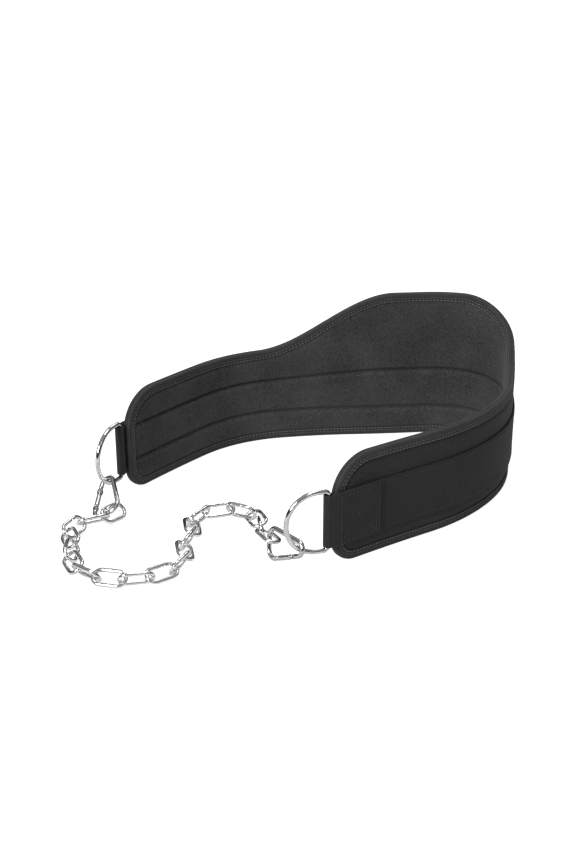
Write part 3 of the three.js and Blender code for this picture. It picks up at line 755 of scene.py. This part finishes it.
class Stitches:
    """Rows of short raised threads, gathered into one piece."""

    def __init__(self):
        self.verts = []
        self.faces = []

    def add(self, start, finish, normal, width):
        along = (finish - start).normalized()
        side = along.cross(normal).normalized()
        rings = []
        for t, size in THREAD_SHAPE:
            middle = start.lerp(finish, t) + normal * (THREAD_RISE * (size - THREAD_SUNK))
            ring = []
            for k in range(THREAD_SIDES):
                a = (k + 0.5) / THREAD_SIDES * 2 * math.pi
                sideways = width / 2 * size * math.cos(a)
                outward = THREAD_RISE * THREAD_ROUND * size * math.sin(a)
                ring.append(len(self.verts))
                self.verts.append(middle + side * sideways + normal * outward)
            rings.append(ring)
        for a, b in zip(rings, rings[1:]):
            for k in range(THREAD_SIDES):
                m = (k + 1) % THREAD_SIDES
                self.faces.append((a[k], a[m], b[m], b[k]))
        self.faces.append(tuple(reversed(rings[0])))
        self.faces.append(tuple(rings[-1]))

    def row(self, points, normals, closed=False, width=THREAD_WIDTH):
        """Stitches at an even pitch along a line of points."""
        spans = list(zip(points, points[1:] + points[:1] if closed else points[1:]))
        lengths = [(b - a).length for a, b in spans]
        total = sum(lengths)
        count = max(int(total / STITCH_PITCH), 1)
        step = total / count

        def at(distance):
            i = 0
            while i < len(lengths) - 1 and distance > lengths[i]:
                distance -= lengths[i]
                i += 1
            t = min(distance / max(lengths[i], 1e-6), 1)
            a, b = spans[i]
            return a.lerp(b, t), normals[i].lerp(normals[(i + 1) % len(normals)], t).normalized()
        for i in range(count):
            start, normal = at(i * step)
            finish, _ = at(i * step + STITCH_LENGTH)
            if (finish - start).length > SHORTEST_STITCH:
                self.add(start, finish, normal, width)


def uncovered(points, normals):
    """The stretches of a row on the outer face that the webbing leaves bare."""
    stretches = [([], [])]
    for (s, z, _, _), point, normal in zip(EDGE, points, normals):
        beside = WEBBING_BASE - WEBBING_MARGIN < z < WEBBING_BASE + WEBBING_WIDTH + WEBBING_MARGIN
        if beside and min(s, BELT_LENGTH - s) < COVERED_LENGTH:
            stretches.append(([], []))
        else:
            stretches[-1][0].append(point)
            stretches[-1][1].append(normal)
    return [stretch for stretch in stretches if len(stretch[0]) > 2]


def build_binding_stitches():
    threads = Stitches()
    for sign in (1, -1):
        for kind in BINDING_ROWS:
            points, normals = [], []
            for s, z, out_s, out_z in EDGE:
                along = s - out_s * kind["deep"]
                points.append(place(along, sign * BINDING_ROW_OUT, z - out_z * kind["deep"]))
                normals.append(face_normal(along, sign))
            if sign < 0:
                threads.row(points, normals, closed=True, width=kind["width"])
                continue
            for bare_points, bare_normals in uncovered(points, normals):
                threads.row(bare_points, bare_normals, width=kind["width"])
    return make("binding_stitches", threads.verts, threads.faces)


settle(build_binding_stitches(), "belt", "binding", thread)


# The webbing, folded back over the bar of each ring

def band_path():
    """The band's centre line: length along the belt, and out from the pad's middle."""
    radius = RING_WIRE / 2 + GAP + WEBBING_THICKNESS / 2

    def touch(beyond, out, side):
        away = math.hypot(RING_REACH - beyond, out - RING_OFFSET)
        return math.atan2(out - RING_OFFSET, RING_REACH - beyond) + side * math.acos(radius / away)

    def loop(sign, start):
        a0 = touch(-WEBBING_THICKNESS, FOLD_OUT, 1)
        a1 = touch(WEBBING_THICKNESS / 2, RUN_OUT, -1) + 2 * math.pi
        points = []
        for i in range(FOLD_STEPS + 1):
            inward = FOLD_LENGTH - (FOLD_LENGTH - WEBBING_THICKNESS) * i / FOLD_STEPS
            points.append((start + sign * inward, FOLD_OUT))
        for i in range(LOOP_STEPS + 1):
            a = a0 + (a1 - a0) * i / LOOP_STEPS
            inward = radius * math.cos(a) - RING_REACH
            points.append((start + sign * inward, RING_OFFSET + radius * math.sin(a)))
        points.append((start - sign * WEBBING_THICKNESS / 2, RUN_OUT))
        return points
    run = BELT_LENGTH - 2 * WEBBING_START
    middle = [(WEBBING_START + run * i / WEBBING_STEPS, RUN_OUT) for i in range(WEBBING_STEPS + 1)]
    return loop(1, 0) + middle + list(reversed(loop(-1, BELT_LENGTH)))


def build_webbing():
    middle = [place(s, out, 0) for s, out in band_path()]
    section = [(z, thick, 1) for z, thick in WEBBING_SECTION]
    section += [(z, thick, -1) for z, thick in reversed(WEBBING_SECTION)]
    verts, uvs, faces, rings = [], [], [], []
    travelled = 0.0
    for i, here in enumerate(middle):
        before = middle[max(i - 1, 0)]
        after = middle[min(i + 1, len(middle) - 1)]
        travelled += (here - before).length
        along = (after - before).normalized()
        across = Vector((-along.y, along.x, 0))
        ring = []
        for z, thick, side in section:
            ripple = 0
            if side > 0:
                ripple = WEBBING_RIPPLE * noise.noise(Vector((travelled * 0.05, z * 0.08, 2.0)))
            out = (side * WEBBING_THICKNESS / 2 + ripple) * thick
            ring.append(len(verts))
            verts.append(here + across * out + UP * (WEBBING_BASE + z))
            uvs.append((travelled * MM, z * MM))
        rings.append(ring)
    for a, b in zip(rings, rings[1:]):
        for j in range(len(section)):
            k = (j + 1) % len(section)
            faces.append((a[j], b[j], b[k], a[k]))
    faces.append(tuple(reversed(rings[-1])))
    faces.append(tuple(rings[0]))
    return make("webbing", verts, faces, uvs)


settle(build_webbing(), "belt", "webbing", webbing_weave, "webbing_strap")


def box_lines(near, far, low, high):
    """The sides and the cross of a sewn box, each from one corner to another."""
    return [
        ((near, low), (far, low)),
        ((near, high), (far, high)),
        ((near, low), (near, high)),
        ((far, low), (far, high)),
        ((near, low), (far, high)),
        ((near, high), (far, low)),
    ]


def stitch_line(threads, line, out, sign=1, steps=8):
    (s0, z0), (s1, z1) = line
    points, normals = [], []
    for i in range(steps + 1):
        s = s0 + (s1 - s0) * i / steps
        points.append(place(s, out, z0 + (z1 - z0) * i / steps))
        normals.append(face_normal(s, sign))
    threads.row(points, normals)


def build_webbing_stitches():
    threads = Stitches()
    low = WEBBING_BASE + ROW_INSET
    high = WEBBING_BASE + WEBBING_WIDTH - ROW_INSET
    for start, inward in ((0, 1), (BELT_LENGTH, -1)):
        near = start + inward * BOX_INSET
        far = start + inward * (FOLD_LENGTH - BOX_INSET)
        outer = box_lines(near, far, low, high)
        inner = box_lines(near + inward * INNER_BOX_INSET, far, low, high)
        for outer_line, inner_line in zip(outer, inner):
            stitch_line(threads, outer_line, FOLD_OUT + WEBBING_THICKNESS / 2 + THREAD_LIFT)
            stitch_line(threads, inner_line, -(PAD_HALF + INNER_BOX_OUT), sign=-1)
    row_start = FOLD_LENGTH + ROW_START
    for z in (low, high):
        line = ((row_start, z), (BELT_LENGTH - row_start, z))
        stitch_line(threads, line, FACE + WEBBING_THICKNESS + THREAD_LIFT, steps=200)
    return make("webbing_stitches", threads.verts, threads.faces)


settle(build_webbing_stitches(), "belt", "webbing", box_thread)


# Wire, plates and rivet heads

def arc(cx, cy, radius, start, end, steps):
    """Points on an arc in the XY plane, between two angles in degrees."""
    points = []
    for i in range(steps + 1):
        a = (start + (end - start) * i / steps) * DEG
        points.append(Vector((cx + radius * math.cos(a), cy + radius * math.sin(a), 0)))
    return points


def tube(path, radii, closed, sides):
    """Round wire along a flat path, with a radius for each of its points."""
    verts, faces = [], []
    count = len(path)
    for i, (point, radius) in enumerate(zip(path, radii)):
        before = path[(i - 1) % count] if closed or i > 0 else point
        after = path[(i + 1) % count] if closed or i < count - 1 else point
        along = (after - before).normalized()
        side = Vector((along.y, -along.x, 0))
        for k in range(sides):
            a = k / sides * 2 * math.pi
            verts.append(point + side * (radius * math.cos(a)) + UP * (radius * math.sin(a)))
    for i in range(count if closed else count - 1):
        j = (i + 1) % count
        for k in range(sides):
            m = (k + 1) % sides
            faces.append((i * sides + k, j * sides + k, j * sides + m, i * sides + m))
    if not closed:
        faces.append(tuple(reversed(range(sides))))
        faces.append(tuple(range((count - 1) * sides, count * sides)))
    return verts, faces


def even_tube(path, radius, closed, sides):
    return tube(path, [radius] * len(path), closed, sides)


def thicken(path, step):
    """The same path with more points on its long stretches."""
    dense = []
    for a, b in zip(path, path[1:]):
        n = max(1, int((b - a).length / step))
        dense += [a.lerp(b, i / n) for i in range(n)]
    return dense + [path[-1]]


def stack(rings):
    """A closed form through rings of as many points each."""
    count = len(rings[0])
    verts = [point for ring in rings for point in ring]
    faces = []
    for a in range(0, len(verts) - count, count):
        for k in range(count):
            m = (k + 1) % count
            faces.append((a + k, a + m, a + count + m, a + count + k))
    faces.append(tuple(reversed(range(count))))
    faces.append(tuple(range(len(verts) - count, len(verts))))
    return verts, faces


def join(parts):
    verts, faces = [], []
    for part_verts, part_faces in parts:
        start = len(verts)
        verts += part_verts
        faces += [tuple(i + start for i in face) for face in part_faces]
    return verts, faces


def moved(part, matrix):
    verts, faces = part
    return [matrix @ v for v in verts], faces


# The snap hook: X from its narrow end to its wide end, Y across, Z through it. The gate is on one leg.
LEG_NORMAL = Vector((math.cos(-LEG_ANGLE * DEG), math.sin(-LEG_ANGLE * DEG), 0))
LEG_ALONG = Vector((-LEG_NORMAL.y, LEG_NORMAL.x, 0))


def on_leg(t, over=0.0):
    return LEG_NORMAL * HOOK_NOSE + LEG_ALONG * t + UP * over


def plate(middle, length, width, height, bevel):
    """A flat piece on the hook's leg, with cut corners and bevelled rims."""
    rings = []
    for level, cut in zip(PLATE_LEVELS, (bevel, 0, 0, bevel)):
        x = length / 2 - cut
        y = width / 2 - cut
        c = min(x, y) * PLATE_CORNER
        corners = [(x, c - y), (x, y - c), (x - c, y), (c - x, y)]
        corners += [(-x, y - c), (-x, c - y), (c - x, -y), (x - c, -y)]
        lift = UP * (level * height / 2)
        rings.append([middle + LEG_ALONG * a + LEG_NORMAL * b + lift for a, b in corners])
    return stack(rings)


def rivet_head(middle, side):
    out = UP * side
    across = out.orthogonal().normalized()
    other = out.cross(across)
    angles = [k / RIVET_SIDES * 2 * math.pi for k in range(RIVET_SIDES)]
    rings = []
    for level, size in RIVET_LEVELS:
        centre = middle + out * (RIVET_HEAD["height"] * level)
        spoke = RIVET_HEAD["radius"] * size
        rings.append([centre + (across * math.cos(a) + other * math.sin(a)) * spoke for a in angles])
    return stack(rings)


def ring_frame(end):
    out = ring_out(end)
    return basis(ring_bar(end) + OFFSET, out, UP, out.cross(UP))


def hook_frame(end):
    seat = HOOK_SEATS[end]
    ring = ring_frame(end)
    around = seat["ring_angle"] * DEG
    spoke = Vector((math.cos(around), math.sin(around), 0))
    on_ring = ring @ (Vector((RING_MIDDLE, 0, 0)) + spoke * RING_RADIUS)
    wire_line = ring.to_3x3() @ Vector((-spoke.y, spoke.x, 0))
    heading = seat["heading"] * DEG
    level = Vector((math.cos(heading), math.sin(heading), 0))
    roll = Matrix.Rotation(seat["roll"] * DEG, 4, "X")

    def leaning(fall):
        along = level * math.cos(fall) - UP * math.sin(fall)
        across = along.cross(wire_line).length
        in_nose = HOOK_NOSE - ((RING_WIRE + HOOK_WIRE) / 2 + GAP) / across
        return aimed(on_ring + along * in_nose, along, wire_line) @ roll

    def lowest(hung):
        corners = min((hung @ Vector((HEEL_X, y, 0))).z for y in (HEEL_Y, -HEEL_Y))
        return corners - HOOK_HEEL * math.hypot(hung[2][0], hung[2][1]) - HOOK_WIRE / 2
    above = 0
    below = math.pi / 2
    for _ in range(30):
        fall = (above + below) / 2
        if lowest(leaning(fall)) > GAP:
            above = fall
        else:
            below = fall
    return leaning(above)


def build_ring(end):
    bar = RING_RADIUS - RING_CORNER
    path = arc(RING_CORNER, -bar, RING_CORNER, 180, 270, 8)
    path += arc(RING_MIDDLE, 0, RING_RADIUS, -90, 90, 56)
    path += arc(RING_CORNER, bar, RING_CORNER, 90, 180, 8)
    wire = even_tube(path, RING_WIRE / 2, closed=True, sides=20)
    return make(f"ring_{end}", *moved(wire, ring_frame(end)))


def build_hook(end):
    path = [on_leg(LATCH_AT + HOOK_END_GAP)]
    path += arc(HEEL_X, -HEEL_Y, HOOK_HEEL, -LEG_ANGLE, 0, 14)
    path += arc(HEEL_X, HEEL_Y, HOOK_HEEL, 0, LEG_ANGLE, 14)
    path += arc(0, 0, HOOK_NOSE, LEG_ANGLE, 360 - LEG_ANGLE, 22)
    path.append(on_leg(GATE_START - GATE_WIRE / 2 - HOOK_END_GAP))
    parts = [
        even_tube(thicken(path, WIRE_STEP), HOOK_WIRE / 2, closed=False, sides=18),
        plate(on_leg(GATE_START - RIVET_TONGUE_BACK), width=RIVET_TONGUE_WIDTH, **TONGUE),
        plate(on_leg(LATCH_AT), width=LATCH_TONGUE_WIDTH, **TONGUE),
    ]
    return make(f"snap_hook_{end}", *moved(join(parts), hook_frame(end)))


def build_gate(end):
    parts = []
    for side in (1, -1):
        cheek_out = side * (SLOT_HALF + CHEEK["height"] / 2)
        tip_out = side * (SLOT_HALF + TIP["height"] / 2)
        parts.append(plate(on_leg(GATE_START + CHEEK_AHEAD, cheek_out), **CHEEK))
        parts.append(plate(on_leg(LATCH_AT - TIP_BACK, tip_out), **TIP))
        parts.append(rivet_head(on_leg(GATE_START, side * RIVET_OUT), side))
    places = [GATE_START + t for t in TUBE_START]
    places += [places[-1] + i * TUBE_STEP for i in range(1, TUBE_STEPS + 1)]
    places += [LATCH_AT - t for t in TUBE_END]
    shares = [TUBE_THIN[0]] + [1] * (len(places) - 2) + [TUBE_THIN[1]]
    radii = [GATE_WIRE / 2 * share for share in shares]
    parts.append(tube([on_leg(t) for t in places], radii, closed=False, sides=18))
    return make(f"gate_{end}_piece", *moved(join(parts), hook_frame(end)))


for end in ("left", "right"):
    settle(build_ring(end), "belt", "ring", chrome, f"d_ring_{end}")
    settle(build_hook(end), "belt", "hook", steel, f"hook_{end}")
    settle(build_gate(end), f"gate_{end}", "hook", steel, f"hook_gate_{end}")


# The chain, each link placed from its CAD node's own axes

def link_frame(node):
    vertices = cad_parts[node].data.vertices
    corners = {tuple(round(c, 3) for c in Vector(v.co) / MM) for v in vertices}
    points = [Vector(corner) for corner in sorted(corners)]
    centre = sum(points, Vector()) / len(points)
    spread = Matrix(((0, 0, 0), (0, 0, 0), (0, 0, 0)))
    for point in points:
        d = point - centre
        for i in range(3):
            for j in range(3):
                spread[i][j] += d[i] * d[j]

    def longest(away=None):
        """The way the points spread most, or most of all at right angles to another."""
        v = Vector((0.3, 0.5, 0.8))
        for _ in range(200):
            v = spread @ v
            if away is not None:
                v -= away * v.dot(away)
            v.normalize()
        return v
    along = longest()
    across = longest(away=along)
    return basis(centre, along, across, along.cross(across))


def build_link(number, node):
    bend = (LINK_WIDTH - LINK_WIRE) / 2
    half = (LINK_LENGTH - LINK_WIDTH) / 2
    along = [half - 2 * half * i / 8 for i in range(1, 8)]
    path = arc(half, 0, bend, -90, 90, 18)
    path += [Vector((x, bend, 0)) for x in along]
    path += arc(-half, 0, bend, 90, 270, 18)
    path += [Vector((-x, -bend, 0)) for x in along]
    radii = []
    for point in path:
        weld = bell(point.x, WELD_HALF) if point.y > bend * 0.9 else 0
        radii.append(LINK_WIRE / 2 * (LINK_THIN + WELD_SWELL * weld))
    wire = tube(path, radii, closed=True, sides=14)
    return make(f"link_{number:02d}", *moved(wire, link_frame(node)))


for number in range(1, 100):
    node = f"chain_link_{number:02d}"
    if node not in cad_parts:
        break
    settle(build_link(number, node), "belt", "chain", zinc, node)


# Floor, light and camera

def add_light(light):
    lamp_data = bpy.data.lights.new(light["name"], "AREA")
    lamp_data.energy = light["power"]
    lamp_data.size = light["size"]
    lamp = bpy.data.objects.new(light["name"], lamp_data)
    bpy.context.scene.collection.objects.link(lamp)
    lamp.location = light["place"]
    lamp.rotation_euler = (LIT_POINT - Vector(light["place"])).to_track_quat("-Z", "Y").to_euler()


def build_floor():
    """White ground that glows more for the camera than it lights the belt."""
    mesh = bpy.data.meshes.new("floor")
    r = FLOOR_HALF
    mesh.from_pydata([(-r, -r, 0), (r, -r, 0), (r, r, 0), (-r, r, 0)], [], [(0, 1, 2, 3)])
    material, nodes, links, shader = base_material("floor_white", 0.9)
    shader.inputs["Base Color"].default_value = (FLOOR_GREY, FLOOR_GREY, FLOOR_GREY, 1)
    shader.inputs["Emission Color"].default_value = (1, 1, 1, 1)
    light_path = nodes.new("ShaderNodeLightPath")
    glow = nodes.new("ShaderNodeMapRange")
    glow.inputs["To Min"].default_value = FLOOR_GLOW["light"]
    glow.inputs["To Max"].default_value = FLOOR_GLOW["camera"]
    links.new(light_path.outputs["Is Camera Ray"], glow.inputs["Value"])
    links.new(glow.outputs["Result"], shader.inputs["Emission Strength"])
    mesh.materials.append(material)
    ground = bpy.data.objects.new("floor", mesh)
    bpy.context.scene.collection.objects.link(ground)
    return ground


def build_world():
    """A dim sky, brighter overhead, behind a backdrop that only the camera sees."""
    world = bpy.data.worlds.new("studio")
    world.use_nodes = True
    nodes = world.node_tree.nodes
    links = world.node_tree.links
    sky = nodes["Background"]
    sky.inputs["Strength"].default_value = SKY_STRENGTH
    coord = nodes.new("ShaderNodeTexCoord")
    split = nodes.new("ShaderNodeSeparateXYZ")
    links.new(coord.outputs["Generated"], split.inputs["Vector"])
    greys = [(0.0, (0.05, 0.05, 0.05)), (0.3, (0.12, 0.12, 0.12)), (0.6, (1, 1, 1))]
    ramp = ramp_node(nodes, links, split.outputs["Z"], greys)
    links.new(ramp.outputs["Color"], sky.inputs["Color"])
    backdrop = nodes.new("ShaderNodeBackground")
    backdrop.inputs["Color"].default_value = (1, 1, 1, 1)
    backdrop.inputs["Strength"].default_value = BACKDROP_STRENGTH
    either = nodes.new("ShaderNodeMixShader")
    light_path = nodes.new("ShaderNodeLightPath")
    links.new(light_path.outputs["Is Camera Ray"], either.inputs["Fac"])
    links.new(sky.outputs["Background"], either.inputs[1])
    links.new(backdrop.outputs["Background"], either.inputs[2])
    links.new(either.outputs["Shader"], nodes["World Output"].inputs["Surface"])
    return world


def build_camera():
    level = Vector((math.sin(CAMERA_AZIMUTH), -math.cos(CAMERA_AZIMUTH), 0))
    back = level * math.cos(CAMERA_ELEVATION) + UP * math.sin(CAMERA_ELEVATION)
    data = bpy.data.cameras.new("camera")
    data.sensor_fit = "VERTICAL"
    data.sensor_height = SENSOR_HEIGHT
    data.lens = FOCAL_PIXELS * SENSOR_HEIGHT / PHOTO_HEIGHT
    data.clip_end = CLIP_END
    camera = bpy.data.objects.new("camera", data)
    bpy.context.scene.collection.objects.link(camera)
    camera.location = (CAMERA_TARGET + OFFSET + back * CAMERA_DISTANCE) * MM
    camera.rotation_euler = (-back).to_track_quat("-Z", "Y").to_euler()
    return camera


floor = build_floor()
bpy.context.scene.world = build_world()
for light in LIGHTS:
    add_light(light)
bpy.context.scene.camera = build_camera()
bpy.context.scene.view_settings.view_transform = "Standard"
